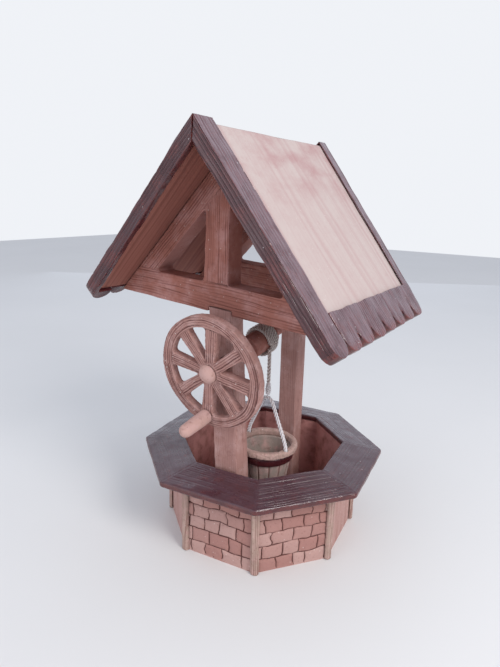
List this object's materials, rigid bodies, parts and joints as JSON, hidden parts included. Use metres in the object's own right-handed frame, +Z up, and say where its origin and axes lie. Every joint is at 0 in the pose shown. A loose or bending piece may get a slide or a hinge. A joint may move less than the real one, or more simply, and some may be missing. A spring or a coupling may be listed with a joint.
{
  "type": "wishing well planter",
  "caption": "Eight-sided clay planter tub as a wishing well, with posts, crank wheel, cord, bucket and a lift-off gable roof.",
  "frame": {"origin": "centre of the tub's standing face", "axes": "+X to the right of the crank end, +Y back along the ridge and the axle, +Z up"},
  "size_m": [0.3302, 0.3076, 0.4899],
  "materials": {
    "bare_clay": "combed unglazed clay",
    "smooth_clay": "smoothed unglazed clay",
    "panel_clay": "matte pale clay",
    "brick_clay": "scored unglazed clay",
    "strip_clay": "matte stained clay",
    "rim_glaze": "satin brown glaze",
    "roof_glaze": "gloss dark brown glaze",
    "stave_clay": "matte scored clay",
    "collar_clay": "matte speckled clay",
    "hoop_glaze": "gloss dark brown glaze",
    "cord_fibre": "twisted cord"
  },
  "bodies": {
    "well": {"tub_floor": "bare_clay", "tub_wall_1": "brick_clay", "tub_wall_2": "brick_clay", "tub_wall_3": "brick_clay", "tub_wall_4": "brick_clay", "tub_wall_5": "brick_clay", "tub_wall_6": "brick_clay", "tub_wall_7": "brick_clay", "tub_wall_8": "brick_clay", "corner_strip_1": "strip_clay", "corner_strip_2": "strip_clay", "corner_strip_3": "strip_clay", "corner_strip_4": "strip_clay", "corner_strip_5": "strip_clay", "corner_strip_6": "strip_clay", "corner_strip_7": "strip_clay", "corner_strip_8": "strip_clay", "rim_plank_1": "rim_glaze", "rim_plank_2": "rim_glaze", "rim_plank_3": "rim_glaze", "rim_plank_4": "rim_glaze", "rim_plank_5": "rim_glaze", "rim_plank_6": "rim_glaze", "rim_plank_7": "rim_glaze", "rim_plank_8": "rim_glaze", "front_post": "bare_clay", "back_post": "bare_clay"},
    "windlass": {"axle_drum": "bare_clay", "crank_wheel": "bare_clay", "wheel_hub_cap": "smooth_clay", "wheel_handle": "smooth_clay", "cord_winding": "cord_fibre", "cord_anchor_knot": "cord_fibre"},
    "bucket_cord": {"drop_cord": "cord_fibre", "cord_hitch": "cord_fibre", "bail_cord": "cord_fibre"},
    "bucket": {"bucket_base": "stave_clay", "bucket_body": "stave_clay", "bucket_hoop": "hoop_glaze", "bucket_collar": "collar_clay"},
    "roof": {"roof_slab_right": "panel_clay", "roof_slab_left": "panel_clay", "front_verge_right": "roof_glaze", "front_verge_left": "roof_glaze", "back_verge_right": "roof_glaze", "back_verge_left": "roof_glaze", "eave_band_right": "roof_glaze", "eave_band_left": "roof_glaze", "front_tie_beam": "bare_clay", "front_king_post": "bare_clay", "front_rafter_right": "bare_clay", "front_rafter_left": "bare_clay", "back_tie_beam": "bare_clay", "back_king_post": "bare_clay", "back_rafter_right": "bare_clay", "back_rafter_left": "bare_clay"}
  },
  "joints": [
    {"name": "windlass_turn", "type": "hinge", "parent": "well", "child": "windlass", "pos_m": [0.005, -0.08, 0.241], "axis": [0, 0.9903, 0.1392], "range_deg": [-86, 126]},
    {"name": "bucket_lift", "type": "slide", "parent": "well", "child": "bucket_cord", "axis": [0, 0, 1], "range_m": [-0.038, 0.026], "deforming": ["drop_cord"]},
    {"name": "bucket_tip", "type": "hinge", "parent": "bucket_cord", "child": "bucket", "pos_m": [0.0222, -0.0255, 0.123], "axis": [0.9563, -0.2924, 0], "range_deg": [-12, 12]},
    {"name": "roof_lift", "type": "slide", "parent": "well", "child": "roof", "axis": [0, 0, 1], "range_m": [0, 0.12]}
  ],
  "couplings": [
    {"joint": "bucket_lift", "follows": "windlass_turn", "m_per_rad": -0.0172}
  ]
}
